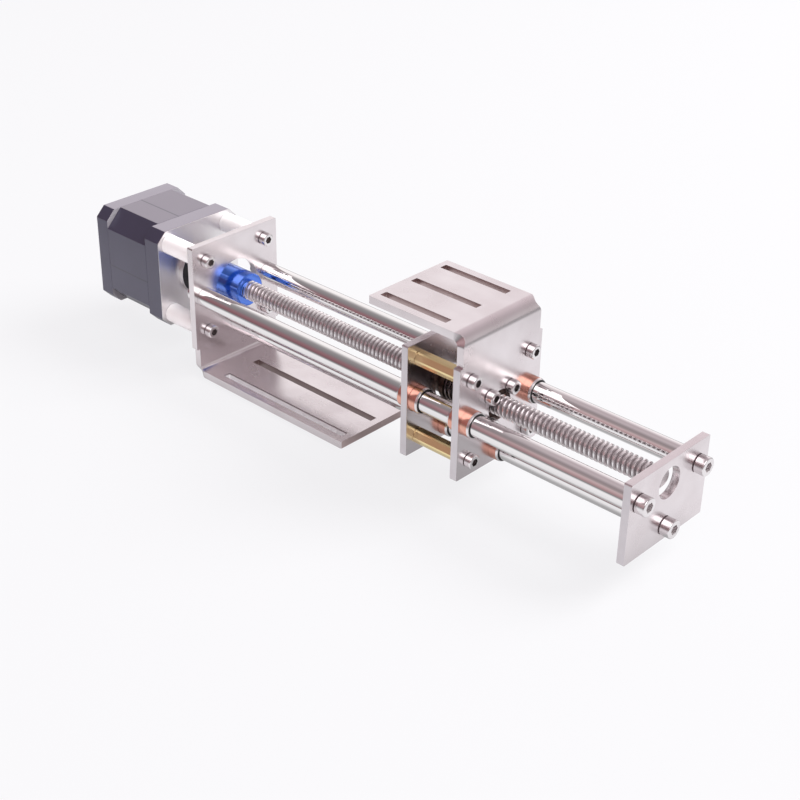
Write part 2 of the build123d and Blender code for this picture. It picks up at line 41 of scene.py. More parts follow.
# Where things are, in millimetres, as in the part
layout = {
    "axisHeight": 35.0, "sheet": 3.0, "plateWidth": 45.0,
    "bracketFace": -44.0, "baseEnd": 37.0, "endPlateBack": 166.0,
    "motorFace": -67.0, "motorRear": -107.0,
    "frontPlateFront": 96.0, "rearPlateFront": 71.7, "tableBack": 51.0,
    "rodOffset": 17.0, "motorHoleOffset": 15.5, "standoffOffset": 16.0, "nutHoleCircle": 8.0,
}
axisHeight = layout["axisHeight"]
sheet = layout["sheet"]
plateHalf = layout["plateWidth"] / 2
plateLow = axisHeight - plateHalf
plateHigh = axisHeight + plateHalf
rodOffset = layout["rodOffset"]
rodPlaces = {"near": (-rodOffset, 0.0), "far": (rodOffset, 0.0), "bottom": (0.0, -rodOffset)}


def fourCorners(offset):
    return [(side * offset, level * offset) for level in (1, -1) for side in (-1, 1)]


motorHoles = fourCorners(layout["motorHoleOffset"])
standoffPlaces = fourCorners(layout["standoffOffset"])
nutHoles = fourCorners(layout["nutHoleCircle"] / math.sqrt(2))


# Editing helpers

weldReach = 0.000002  # metres


def clearSelection():
    if bpy.context.object and bpy.context.object.mode != "OBJECT":
        bpy.ops.object.mode_set(mode="OBJECT")
    bpy.ops.object.select_all(action="DESELECT")


def pickObject(piece):
    clearSelection()
    bpy.context.view_layer.objects.active = piece
    piece.select_set(True)


def startPiece(name, kind, **settings):
    clearSelection()
    getattr(bpy.ops.mesh, "primitive_" + kind + "_add")(**settings)
    piece = bpy.context.object
    piece.name = name
    bpy.ops.object.transform_apply(location=True, rotation=True, scale=True)
    return piece


def barAlongX(name, startX, endX, radius, y=0.0, z=0.0, sides=64):
    piece = startPiece(
        name, "cylinder", vertices=sides, radius=radius * mm, depth=(endX - startX) * mm, location=(0, 0, 0))
    pickObject(piece)
    piece.rotation_euler = (0, math.pi / 2, 0)
    piece.location = ((startX + endX) / 2 * mm, y * mm, (axisHeight + z) * mm)
    bpy.ops.object.transform_apply(location=True, rotation=True, scale=True)
    return piece


def barsAlongX(startX, endX, radius, places, sides):
    return [barAlongX("hole", startX, endX, radius, y, z, sides) for y, z in places]


def block(name, low, high):
    centre = [(a + b) / 2 * mm for a, b in zip(low, high)]
    size = [(b - a) * mm for a, b in zip(low, high)]
    return startPiece(name, "cube", size=1, location=centre, scale=size)


def openMesh(piece, kind="FACE"):
    pickObject(piece)
    bpy.ops.object.mode_set(mode="EDIT")
    bpy.ops.mesh.select_mode(type=kind)
    bpy.ops.mesh.select_all(action="DESELECT")


def closeMesh():
    bpy.ops.object.mode_set(mode="OBJECT")


def pickFaces(piece, test):
    bpy.ops.mesh.select_mode(type="FACE")
    bpy.ops.mesh.select_all(action="DESELECT")
    mesh = bmesh.from_edit_mesh(piece.data)
    for face in mesh.faces:
        if test(face.calc_center_median() / mm, face.normal):
            face.select_set(True)
    bmesh.update_edit_mesh(piece.data)


def pickEdges(piece, test):
    bpy.ops.mesh.select_mode(type="EDGE")
    bpy.ops.mesh.select_all(action="DESELECT")
    mesh = bmesh.from_edit_mesh(piece.data)
    for edge in mesh.edges:
        a, b = (v.co / mm for v in edge.verts)
        if test(a, b):
            edge.select_set(True)
    bmesh.update_edit_mesh(piece.data)


def pickPoints(piece, test):
    bpy.ops.mesh.select_mode(type="VERT")
    bpy.ops.mesh.select_all(action="DESELECT")
    mesh = bmesh.from_edit_mesh(piece.data)
    for point in mesh.verts:
        if test(point.co / mm):
            point.select_set(True)
    mesh.select_flush_mode()
    bmesh.update_edit_mesh(piece.data)


def same(first, second):
    return abs(first - second) < 0.01


def fromLine(point, y=0.0, z=0.0):  # distance from the screw's axis, or from a line beside it
    return Vector((point.y - y, point.z - axisHeight - z)).length


def push(x=0.0, y=0.0, z=0.0):
    bpy.ops.mesh.extrude_region_move(TRANSFORM_OT_translate={"value": (x * mm, y * mm, z * mm)})


def scaleAbout(x, y, z, centre):
    bpy.ops.transform.resize(value=(x, y, z), center_override=[c * mm for c in centre])


def bevelPicked(width, segments):
    bpy.ops.mesh.bevel(offset=width * mm, segments=segments, affect="EDGES")


def modify(piece, kind, **settings):
    pickObject(piece)
    made = piece.modifiers.new("step", kind)
    for key, value in settings.items():
        setattr(made, key, value)
    bpy.ops.object.modifier_apply(modifier=made.name)


def joined(pieces, name):
    clearSelection()
    for piece in pieces:
        piece.select_set(True)
    bpy.context.view_layer.objects.active = pieces[0]
    bpy.ops.object.join()
    pieces[0].name = name
    return pieces[0]


def cutBy(piece, cutters, operation="DIFFERENCE"):
    cutter = joined(cutters, "cutter")
    modify(piece, "BOOLEAN", object=cutter, operation=operation, solver="EXACT")
    bpy.data.objects.remove(cutter)


def copyTo(piece, x, y, z):
    twin = piece.copy()
    twin.data = piece.data.copy()
    bpy.context.collection.objects.link(twin)
    twin.data.transform(Matrix.Translation((x * mm, y * mm, z * mm)))
    return twin


def softenEdges(piece, width, segments=2, limit=35):
    modify(
        piece, "BEVEL", width=width * mm, segments=segments, limit_method="ANGLE",
        angle_limit=math.radians(limit), use_clamp_overlap=True,
    )


def smooth(piece, limit):
    pickObject(piece)
    bpy.ops.object.shade_smooth_by_angle(angle=math.radians(limit))
    modify(piece, "WEIGHTED_NORMAL", keep_sharp=True, weight=80)


def weld(piece):
    openMesh(piece, "VERT")
    bpy.ops.mesh.select_all(action="SELECT")
    bpy.ops.mesh.remove_doubles(threshold=weldReach)
    bpy.ops.mesh.dissolve_degenerate(threshold=weldReach)
    bpy.ops.mesh.select_all(action="SELECT")
    bpy.ops.mesh.fill_holes(sides=0)
    closeMesh()


def dress(piece, material, body, slotName, *replaced, limit=32):
    weld(piece)
    smooth(piece, limit)
    piece.data.materials.clear()
    piece.data.materials.append(material)
    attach(piece, body)
    if replaced:
        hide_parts(*replaced)
    return piece


def paintFaces(piece, material, test):
    piece.data.materials.append(material)
    spot = len(piece.data.materials) - 1
    for face in piece.data.polygons:
        if test(face.center / mm, face.normal):
            face.material_index = spot


# Shader helpers


class Wire:
    def __init__(self, tree, socket=None):
        self.tree = tree
        self.socket = socket

    def node(self, kind, out=0, ramp=None, inputs=None, **settings):
        made = self.tree.nodes.new(kind)
        for key, value in settings.items():
            setattr(made, key, value)
        if ramp:
            stops = made.color_ramp.elements
            while len(stops) < len(ramp):
                stops.new(0.5)
            for stop, (place, colour) in zip(stops, ramp):
                stop.position = place
                stop.color = (*colour, 1)
        for key, value in (inputs or {}).items():
            if isinstance(value, Wire):
                self.tree.links.new(value.socket, made.inputs[key])
            else:
                made.inputs[key].default_value = value
        return Wire(self.tree, made.outputs[out])

    def output(self, key):
        return Wire(self.tree, self.socket.node.outputs[key])

    def math(self, operation, first, second):
        return self.node("ShaderNodeMath", operation=operation, inputs={0: first, 1: second})

    def __add__(self, other):
        return self.math("ADD", self, other)

    __radd__ = __add__

    def __sub__(self, other):
        return self.math("SUBTRACT", self, other)

    def __rsub__(self, other):
        return self.math("SUBTRACT", other, self)

    def __mul__(self, other):
        return self.math("MULTIPLY", self, other)

    __rmul__ = __mul__

    def __truediv__(self, other):
        return self.math("DIVIDE", self, other)

    def __pow__(self, other):
        return self.math("POWER", self, other)

    def __gt__(self, other):
        return self.math("GREATER_THAN", self, other)

    def __abs__(self):
        return self.math("ABSOLUTE", self, 0.0)


def newMaterial(name):
    made = bpy.data.materials.new(name)
    made.use_nodes = True
    shader = made.node_tree.nodes["Principled BSDF"]
    pen = Wire(made.node_tree)
    place = pen.node("ShaderNodeTexCoord", out="Object")
    return made, shader, pen, place


def connect(shader, values):
    for key, value in values.items():
        if isinstance(value, Wire):
            value.tree.links.new(value.socket, shader.inputs[key])
        else:
            shader.inputs[key].default_value = value


def stretched(pen, place, x, y, z):
    return pen.node("ShaderNodeMapping", inputs={"Vector": place, "Scale": (x, y, z)})


def grain(pen, vector, scale, detail=3.0):
    return pen.node(
        "ShaderNodeTexNoise", out="Fac", inputs={"Vector": vector, "Scale": scale, "Detail": detail})


def spread(pen, value, low, high, first=0.0, last=1.0):
    return pen.node("ShaderNodeMapRange", inputs={0: value, 1: low, 2: high, 3: first, 4: last})


def blend(pen, mask, first, second):
    colours = [c if isinstance(c, Wire) else (*c, 1) for c in (first, second)]
    return pen.node("ShaderNodeMix", out=2, data_type="RGBA", inputs={0: mask, 6: colours[0], 7: colours[1]})


def bump(pen, strength, height, depth=0.00004):
    return pen.node("ShaderNodeBump", inputs={"Strength": strength, "Distance": depth, "Height": height})


# Finishes

def metal(name, colour, worn, rough, brush, patch=110.0, lineScale=900.0, lineDepth=0.02, cloudShare=0.5):
    made, shader, pen, place = newMaterial(name)
    lines = grain(pen, stretched(pen, place, *brush), lineScale, 2.0)
    clouds = grain(pen, place, patch, 2.5)
    connect(shader, {
        "Base Color": blend(pen, clouds, colour, worn),
        "Metallic": 1.0,
        "Roughness": rough + (lines - 0.5) * rough * 0.2 + (clouds - 0.5) * rough * cloudShare,
        "Normal": bump(pen, lineDepth, lines),
    })
    return made


def bareMetal(name, first, second, metallic, rough):
    made, shader, pen, place = newMaterial(name)
    lines = grain(pen, stretched(pen, place, 1, 1, 0.05), 1200.0, 2.0)
    clouds = grain(pen, place, 70.0)
    connect(shader, {
        "Base Color": blend(pen, clouds, first, second),
        "Metallic": metallic,
        "Roughness": rough + (lines - 0.5) * 0.08,
        "Normal": bump(pen, 0.03, lines),
    })
    return made


def plastic(name, colour, second, rough, speck):
    made, shader, pen, place = newMaterial(name)
    dots = grain(pen, place, speck, 4.0)
    connect(shader, {
        "Base Color": blend(pen, dots, colour, second),
        "Roughness": rough + (dots - 0.5) * 0.12,
        "Normal": bump(pen, 0.12, dots, 0.00005),
    })
    return made


def threadedSteel():
    made, shader, pen, place = newMaterial("rolledThreadSteel")
    across = pen.node(
        "ShaderNodeVectorMath", operation="SUBTRACT", inputs={0: place, 1: (0, 0, axisHeight * mm)})
    flat = pen.node("ShaderNodeVectorMath", operation="MULTIPLY", inputs={0: across, 1: (0, 1, 1)})
    radius = pen.node("ShaderNodeVectorMath", out="Value", operation="LENGTH", inputs={0: flat})
    # painted shade: the thread roots are painted darker than the crests
    valleyPaintedShade = spread(pen, radius, 0.0031, 0.0038)
    specks = grain(pen, place, 1300.0)
    steel = blend(pen, specks, (0.95, 0.92, 0.93), (0.88, 0.85, 0.86))
    connect(shader, {
        "Base Color": blend(pen, valleyPaintedShade, (0.56, 0.52, 0.53), steel),
        "Metallic": 1.0,
        "Roughness": 0.21 + (1.0 - valleyPaintedShade) * 0.2 + specks * 0.08,
        "Normal": bump(pen, 0.08, specks),
    })
    return made


def anodisedBlue():
    made, shader, pen, place = newMaterial("blueAnodised")
    lines = grain(pen, stretched(pen, place, 1, 0.05, 0.05), 2200.0, 2.0)
    clouds = grain(pen, place, 90.0)
    connect(shader, {
        "Base Color": blend(pen, clouds, (0.01, 0.125, 0.68), (0.018, 0.165, 0.78)),
        "Metallic": 0.85,
        "Roughness": 0.2 + (lines - 0.5) * 0.1,
        "Coat Weight": 1.0,
        "Coat IOR": 1.8,
        "Coat Roughness": 0.12,
        "Normal": bump(pen, 0.06, lines),
    })
    return made


def satinPost():
    made, shader, pen, place = newMaterial("satinPostAluminium")
    clouds = grain(pen, place, 120.0)
    lines = grain(pen, stretched(pen, place, 1, 0.05, 0.05), 1500.0, 2.0)
    connect(shader, {
        "Base Color": blend(pen, clouds, (1.0, 0.99, 0.995), (0.96, 0.95, 0.955)),
        "Metallic": 0.1,
        "Roughness": 0.42 + (lines - 0.5) * 0.12,
        "Normal": bump(pen, 0.05, lines),
    })
    return made


motorGloss = {
    "Metallic": 0.25, "Specular IOR Level": 1.0, "Specular Tint": (0.86, 0.86, 1.0, 1),
    "Coat Weight": 0.5, "Coat Roughness": 0.28,
}


def paintedTopLight(pen, paint, litTop):  # painted highlight: faces that look up are painted paler
    facing = pen.node("ShaderNodeTexCoord", out="Normal")
    up = pen.node("ShaderNodeSeparateXYZ", out=2, inputs={0: facing})
    return blend(pen, spread(pen, up, 0.8, 0.98), paint, litTop)


def motorPaint():
    made, shader, pen, place = newMaterial("motorSatinBlack")
    dots = grain(pen, place, 1800.0)
    clouds = grain(pen, place, 55.0)
    paint = blend(pen, clouds, (0.044, 0.039, 0.076), (0.035, 0.031, 0.060))
    connect(shader, motorGloss)
    connect(shader, {
        # painted highlight: the upward faces of the motor caps are paler
        "Base Color": paintedTopLight(pen, paint, (0.20, 0.18, 0.212)),
        "Roughness": 0.34 + (dots - 0.5) * 0.12 + (clouds - 0.5) * 0.06,
        "Normal": bump(pen, 0.08, dots),
    })
    return made


def stackSteel():
    made, shader, pen, place = newMaterial("motorStackPlates")
    split = pen.node("ShaderNodeSeparateXYZ", inputs={0: place})
    along, y, z = (split.output(axis) for axis in range(3))
    up = z - axisHeight * mm
    # one seam along each side, 2.8 mm off its middle
    flank = abs(y) > abs(up)
    turned = pen.math("SIGN", y, 0.0) * up * flank - pen.math("SIGN", up, 0.0) * y * (1.0 - flank)
    seam = spread(pen, abs(turned - 0.0028), 0.0001, 0.0004)
    sheets = pen.math("PINGPONG", along, 0.00025)
    clouds = grain(pen, place, 55.0)
    paint = blend(pen, clouds, (0.046, 0.041, 0.078), (0.038, 0.034, 0.064))
    # painted highlight: the upward faces of the stack are paler
    paint = paintedTopLight(pen, paint, (0.135, 0.117, 0.142))
    connect(shader, motorGloss)
    connect(shader, {
        "Base Color": blend(pen, seam, (0.02, 0.018, 0.03), paint),
        "Roughness": 0.34 + (clouds - 0.5) * 0.08,
        "Normal": bump(pen, 0.1, seam + sheets * 2000.0, 0.00005),
    })
    return made


def slotWall():
    made, shader, pen, place = newMaterial("nearSlotWallPaintedLight")
    height = pen.node("ShaderNodeSeparateXYZ", out=2, inputs={0: place})
    # painted highlight on the upper part of the wall, painted shade on the lower part
    paintedLitUpper = spread(pen, height, 0.0021, 0.0026)
    specks = grain(pen, place, 900.0)
    connect(shader, {
        "Base Color": blend(pen, paintedLitUpper, (0.92, 0.90, 0.92), (0.20, 0.15, 0.16)),
        "Roughness": 0.4 + specks * 0.1,
    })
    return made


# name, colour, worn colour, roughness, and how the brushed lines are stretched
finishes = {
    "edge": ("cutPlateEdge", (0.72, 0.68, 0.705), (0.62, 0.58, 0.605), 0.34, (1, 1, 0.1)),
    "slotCut": ("laserCutWall", (0.60, 0.48, 0.47), (0.42, 0.32, 0.32), 0.35, (1, 1, 0.1)),
    "chrome": ("groundRodChrome", (0.88, 0.87, 0.87), (0.84, 0.82, 0.82), 0.035, (0.02, 1, 1)),
    "cap": ("polishedFastener", (0.87, 0.84, 0.85), (0.77, 0.74, 0.75), 0.21, (1, 1, 1)),
    "brass": ("turnedBrass", (0.97, 0.82, 0.47), (0.90, 0.72, 0.37), 0.34, (0.1, 1, 1)),
    # the nut's brass is painted very dark: painted shade, as it sits between the carriage plates
    "nut": ("nutBrassPaintedShade", (0.12, 0.085, 0.07), (0.07, 0.05, 0.045), 0.3, (0.1, 1, 1)),
    "copper": ("copperSleeve", (0.86, 0.47, 0.37), (0.76, 0.37, 0.28), 0.25, (0.1, 1, 1)),
    "spring": ("darkSpringWire", (0.20, 0.18, 0.18), (0.12, 0.10, 0.11), 0.25, (1, 1, 1)),
    "bearing": ("groundBearingSteel", (0.62, 0.60, 0.60), (0.5, 0.48, 0.48), 0.2, (1, 1, 1)),
}
metals = {key: metal(*values) for key, values in finishes.items()}
for key, name, brush in (
    ("steelZ", "steelBrushedUpright", (1, 1, 0.03)), ("steelX", "steelBrushedLengthwise", (0.03, 1, 1)),
):
    metals[key] = metal(
        name, (0.84, 0.795, 0.815), (0.71, 0.645, 0.66), 0.25, brush,
        patch=80.0, lineScale=420.0, lineDepth=0.008, cloudShare=0.7)

blueSkin = anodisedBlue()
nearSlotPaintedLight = slotWall()
threadSkin = threadedSteel()
postSkin = satinPost()
motorSkin = motorPaint()
stackSkin = stackSteel()
faceSkin = bareMetal("machinedMotorFace", (0.90, 0.88, 0.89), (0.82, 0.80, 0.81), 1.0, 0.34)
castSkin = bareMetal("bareCastAlloy", (0.40, 0.38, 0.41), (0.30, 0.29, 0.32), 0.4, 0.5)
# painted shade: a dark ring at the foot of each screw head, next to the plate
footPaintedShade = bareMetal("shadedHeadFoot", (0.30, 0.25, 0.26), (0.20, 0.16, 0.17), 1.0, 0.5)
# painted shade inside the hex sockets, darker for M3 than for M4
socketPaintedShades = {
    "m3": bareMetal("socketPaintedShadeDark", (0.40, 0.37, 0.37), (0.30, 0.28, 0.28), 1.0, 0.3),
    "m4": bareMetal("socketPaintedShadePale", (0.72, 0.68, 0.69), (0.60, 0.56, 0.57), 0.8, 0.35),
}
liningSkin = plastic("blackLining", (0.012, 0.012, 0.013), (0.022, 0.021, 0.022), 0.42, 1500.0)
socketSkin = plastic("ivorySocket", (0.82, 0.80, 0.74), (0.76, 0.74, 0.68), 0.4, 700.0)
# painted shade: near-black for the recess and bores inside the motor's boss
borePaintedShade = plastic("borePaintedShadeBlack", (0.014, 0.013, 0.014), (0.02, 0.019, 0.02), 0.5, 900.0)
print("finishes ready")


# Camera, floor and light, in metres

view = {
    "place": (0.39607006, -0.38022757, 0.31470247),
    "right": (0.7310484, 0.6821366, 0.0160577),
    "down": (0.3510484, -0.3558314, -0.8661114),
    "ahead": (-0.5850925, 0.6388064, -0.4995930),
    "focalPixels": 1563.998,
    "picturePixels": 800.0,
    "sensorWidth": 36.0,
}


def makeCamera():
    data = bpy.data.cameras.new("photoCamera")
    data.sensor_fit = "HORIZONTAL"
    data.sensor_width = view["sensorWidth"]
    data.lens = view["focalPixels"] * view["sensorWidth"] / view["picturePixels"]
    data.clip_start = 0.01
    camera = bpy.data.objects.new("photoCamera", data)
    bpy.context.collection.objects.link(camera)
    right, down, ahead = (Vector(view[key]) for key in ("right", "down", "ahead"))
    turn = Matrix((right, -down, -ahead)).transposed().to_4x4()
    camera.matrix_world = Matrix.Translation(view["place"]) @ turn
    bpy.context.scene.camera = camera
    bpy.context.scene.view_settings.view_transform = "Standard"


floorLook = {
    "size": 12.0, "colour": (0.86, 0.86, 0.87, 1), "glow": (0.985, 0.98, 1.0, 1), "glowStrength": 0.905,
    "shadowShare": 0.085,
    # in reflections only, the floor's glow is painted darker away from the module, and a painted shadow lies
    # under it except past the end plate
    "middleX": 0.03, "lengthShare": 0.5, "awayFrom": 0.11, "awayTo": 0.25, "awayShare": 0.22,
    "middleY": 0.002, "shadowUnderFrom": 0.01, "shadowUnderTo": 0.034, "shadowUnderShare": 0.42,
    "endFrom": 0.15, "endTo": 0.19,
}


def makeFloor():
    look = floorLook
    floor = startPiece("studioFloor", "plane", size=look["size"], location=(0, 0, 0))
    made = bpy.data.materials.new("paleFloor")
    made.use_nodes = True
    tree = made.node_tree
    tree.nodes.clear()
    pen = Wire(tree)
    rays = pen.node("ShaderNodeLightPath")
    glossy = rays.output("Is Glossy Ray")
    seen = pen.math("MAXIMUM", rays.output("Is Camera Ray"), glossy)
    seen = pen.math("MAXIMUM", seen, rays.output("Is Transmission Ray"))
    place = pen.node("ShaderNodeTexCoord", out="Object")
    split = pen.node("ShaderNodeSeparateXYZ", inputs={0: place})
    floorX, floorY = split.output(0), split.output(1)
    along = (floorX - look["middleX"]) * look["lengthShare"]
    distance = (along * along + floorY * floorY) ** 0.5
    away = spread(pen, distance, look["awayFrom"], look["awayTo"], 1.0, look["awayShare"])
    # painted shadow under the module, seen only in reflections
    under = spread(
        pen, abs(floorY - look["middleY"]), look["shadowUnderFrom"], look["shadowUnderTo"], look["shadowUnderShare"], 1.0)
    under = pen.math("MAXIMUM", under, spread(pen, floorX, look["endFrom"], look["endTo"]))
    shine = 1.0 - glossy * (1.0 - away * under)
    paper = pen.node("ShaderNodeBsdfDiffuse", inputs={"Color": look["colour"]})
    glow = pen.node(
        "ShaderNodeEmission", inputs={"Color": look["glow"], "Strength": shine * look["glowStrength"]})
    mixed = pen.node("ShaderNodeMixShader", inputs={0: seen * (1.0 - look["shadowShare"]), 1: paper, 2: glow})
    last = tree.nodes.new("ShaderNodeOutputMaterial")
    tree.links.new(mixed.socket, last.inputs["Surface"])
    floor.data.materials.append(made)


skyLook = {
    "strength": 1.2, "seen": (0.80, 0.80, 0.81),
    "panel": (2.0, 1.95, 1.95), "panelWay": (0.55, -0.30, 0.78), "panelFrom": 0.84, "panelTo": 0.94,
    "turnedFrom": -0.59, "turnedTo": -0.49,
    "dimFrom": -0.1, "dimTo": 0.5, "dimShare": 0.6,
    # the room's colour round the X axis, from -Y (0) over the top to +Y (1)
    "left": [
        (0.0, (0.20, 0.105, 0.12)), (0.05, (0.255, 0.13, 0.145)), (0.12, (0.24, 0.155, 0.17)),
        (0.2, (0.22, 0.19, 0.20)), (0.36, (0.245, 0.235, 0.24)), (0.48, (0.285, 0.267, 0.275)),
        (0.595, (0.41, 0.39, 0.395)), (0.72, (0.70, 0.675, 0.675)), (0.82, (0.90, 0.87, 0.87)),
        (1.0, (0.90, 0.87, 0.875)),
    ],
    "right": [
        (0.0, (0.33, 0.22, 0.23)), (0.03, (0.45, 0.31, 0.32)), (0.09, (0.50, 0.38, 0.39)),
        (0.16, (0.32, 0.265, 0.27)), (0.27, (0.265, 0.22, 0.23)), (0.38, (0.34, 0.29, 0.305)),
        (0.5, (0.47, 0.40, 0.42)), (0.6, (0.47, 0.40, 0.42)), (0.74, (0.44, 0.37, 0.39)),
        (0.84, (0.58, 0.51, 0.53)), (0.93, (0.79, 0.72, 0.74)), (1.0, (0.92, 0.87, 0.88)),
    ],
}


def makeSky():
    look = skyLook
    world = bpy.data.worlds.new("studioSky")
    bpy.context.scene.world = world
    world.use_nodes = True
    tree = world.node_tree
    tree.nodes.clear()
    pen = Wire(tree)
    way = pen.node("ShaderNodeTexCoord", out="Generated")
    split = pen.node("ShaderNodeSeparateXYZ", inputs={0: way})
    wayX, wayY, wayZ = (split.output(axis) for axis in range(3))
    side = wayY / ((wayY * wayY + wayZ * wayZ) ** 0.5)
    left, right = (
        pen.node("ShaderNodeValToRGB", ramp=look[key], inputs={"Fac": side * 0.5 + 0.5})
        for key in ("left", "right"))
    room = blend(pen, spread(pen, wayX, look["turnedFrom"], look["turnedTo"]), left, right)
    dimmer = spread(pen, wayX, look["dimFrom"], look["dimTo"], 1.0, look["dimShare"])
    room = blend(pen, dimmer, (0.0, 0.0, 0.0), room)
    facing = pen.node(
        "ShaderNodeVectorMath", out="Value", operation="DOT_PRODUCT", inputs={0: way, 1: look["panelWay"]})
    panel = pen.node("ShaderNodeMapRange", interpolation_type="SMOOTHSTEP", inputs={
        0: facing, 1: look["panelFrom"], 2: look["panelTo"]})
    room = blend(pen, panel, room, look["panel"])
    cameraRay = pen.node("ShaderNodeLightPath").output("Is Camera Ray")
    room = blend(pen, cameraRay, room, look["seen"])
    sky = pen.node("ShaderNodeBackground", inputs={"Color": room, "Strength": look["strength"]})
    last = tree.nodes.new("ShaderNodeOutputWorld")
    tree.links.new(sky.socket, last.inputs["Surface"])


lampLook = {"place": (0.9, 1.1, 1.4), "aim": (0.03, 0, 0.03), "size": 1.2, "power": 80.0}


def makeLamp():
    data = bpy.data.lights.new("keyLamp", "AREA")
    data.shape = "SQUARE"
    data.size = lampLook["size"]
    data.energy = lampLook["power"]
    lamp = bpy.data.objects.new("keyLamp", data)
    bpy.context.collection.objects.link(lamp)
    lamp.location = lampLook["place"]
    way = Vector(lampLook["aim"]) - Vector(lampLook["place"])
    lamp.rotation_euler = way.to_track_quat("-Z", "Y").to_euler()
    lamp.visible_glossy = False


makeCamera()
makeFloor()
makeSky()
makeLamp()
print("studio ready")


# Sheet metal

sheetLook = {
    "edgeRound": 0.25, "cornerRound": 0.6,
    "neckWidth": 42.0, "bendInside": 2.0, "bendSteps": 10, "bendPinch": 1.6,
    "slotRow": (-16, 0, 16), "slotWidth": 3.2, "slotCornerRound": 0.25,
    "baseSlotX": 0.0, "baseSlot": 68.0, "tableSlotX": 69.0, "tableSlot": 31.0,
    "m3Hole": 1.7, "m4Hole": 2.2, "bushHole": 5.02,
    "pilotHole": 11.0, "frontNutHole": 6.0, "rearNutHole": 7.0, "endHole": 6.0, "endPlateTop": 44.0,
}


def roundCorners(plate, test):
    openMesh(plate, "EDGE")
    pickEdges(plate, test)
    bevelPicked(sheetLook["cornerRound"], 4)
    closeMesh()


def bendFaces(centre):
    for step in range(sheetLook["bendSteps"]):
        bpy.ops.mesh.extrude_region_move()
        bpy.ops.transform.rotate(
            value=math.pi / 2 / sheetLook["bendSteps"], orient_axis="Y",
            center_override=[c * mm for c in centre])


def pinchBend(plate, centre):  # the ends of the outer bend are drawn in
    reach = sheetLook["bendInside"] + sheet
    for step in range(1, sheetLook["bendSteps"]):
        angle = step / sheetLook["bendSteps"] * math.pi / 2
        pull = sheetLook["bendPinch"] * math.sin(2 * angle) ** 2
        for sideways in (math.cos(angle) * reach, -math.cos(angle) * reach):
            for upwards in (math.sin(angle) * reach, -math.sin(angle) * reach):
                spot = Vector((centre[0] + sideways, 0, centre[2] + upwards))
                pickPoints(plate, lambda p: Vector((p.x - spot.x, p.z - spot.z)).length < 0.05)
                if any(v.select for v in bmesh.from_edit_mesh(plate.data).verts):
                    scaleAbout(1, 1 - 2 * pull / sheetLook["neckWidth"], 1, (0, 0, 0))


def bentPlate(name, face, bendX, bendZ, endX):
    plate = block(name, (face - sheet, -plateHalf, plateLow), (face, plateHalf, plateHigh))
    up = 1 if bendZ > plateHigh else -1
    shoulder = plateHigh if up > 0 else plateLow
    openMesh(plate)
    pickFaces(plate, lambda c, n: n.z * up > 0.9)
    bpy.ops.mesh.extrude_region_move()
    scaleAbout(1, sheetLook["neckWidth"] / layout["plateWidth"], 1, (face - sheet / 2, 0, shoulder))
    push(z=bendZ - shoulder)
    bendFaces((bendX, 0, bendZ))
    picked = [f for f in bmesh.from_edit_mesh(plate.data).faces if f.select]
    push(x=endX - picked[0].calc_center_median().x / mm)
    bpy.ops.mesh.select_all(action="SELECT")
    bpy.ops.mesh.remove_doubles(threshold=weldReach)
    bpy.ops.mesh.normals_make_consistent(inside=False)
    pinchBend(plate, (bendX, 0, bendZ))
    closeMesh()
    roundCorners(plate, lambda a, b: same(a.y, b.y) and (
        same(a.z, b.z) and same(abs(a.y), plateHalf) or same(a.x, b.x) and same(a.x, endX)))
    return plate


def plateHoles(face, radius, places, sides=32):
    return barsAlongX(face - sheet - 1, face + 1, radius, places, sides)


def slotCutters(x, length, lowZ):
    cutters = []
    reach, half = length / 2, sheetLook["slotWidth"] / 2
    for y in sheetLook["slotRow"]:
        cutter = block("slotCutter", (x - reach, y - half, lowZ - 1), (x + reach, y + half, lowZ + sheet + 1))
        openMesh(cutter, "EDGE")
        pickEdges(cutter, lambda a, b: abs(a.z - b.z) > 1.0)
        bevelPicked(sheetLook["slotCornerRound"], 3)
        closeMesh()
        cutters.append(cutter)
    return cutters


def inSlot(c, x, length, lowZ):  # a face on a slot's wall, clear of the rounded edges
    across = min(abs(c.y - y) for y in sheetLook["slotRow"])
    return (abs(c.x - x) < length / 2 + 0.05 and across < sheetLook["slotWidth"] / 2 + 0.05
            and lowZ + 0.2 < c.z < lowZ + sheet - 0.2)


def makeBracket():
    look, face, endX = sheetLook, layout["bracketFace"], layout["baseEnd"]
    bracket = bentPlate("motorBracket", face, face + look["bendInside"], sheet + look["bendInside"], endX)
    cutBy(bracket, (
        plateHoles(face, look["pilotHole"], [(0, 0)], 96) + plateHoles(face, look["m3Hole"], motorHoles)
        + plateHoles(face, look["m4Hole"], rodPlaces.values())))
    slot = (look["baseSlotX"], look["baseSlot"], 0.0)
    cutBy(bracket, slotCutters(*slot))
    softenEdges(bracket, look["edgeRound"])
    dress(bracket, metals["steelX"], "frame", "stainless", "motor_bracket")
    nearSlot = look["slotRow"][0] / 2
    paintFaces(bracket, metals["slotCut"], lambda c, n: (
        c.y > nearSlot and inSlot(c, *slot) or n.x > 0.9 and c.x > endX - 0.1))
    # the near slot's walls: painted highlight above, painted shade below
    paintFaces(bracket, nearSlotPaintedLight, lambda c, n: c.y < nearSlot and inSlot(c, *slot))


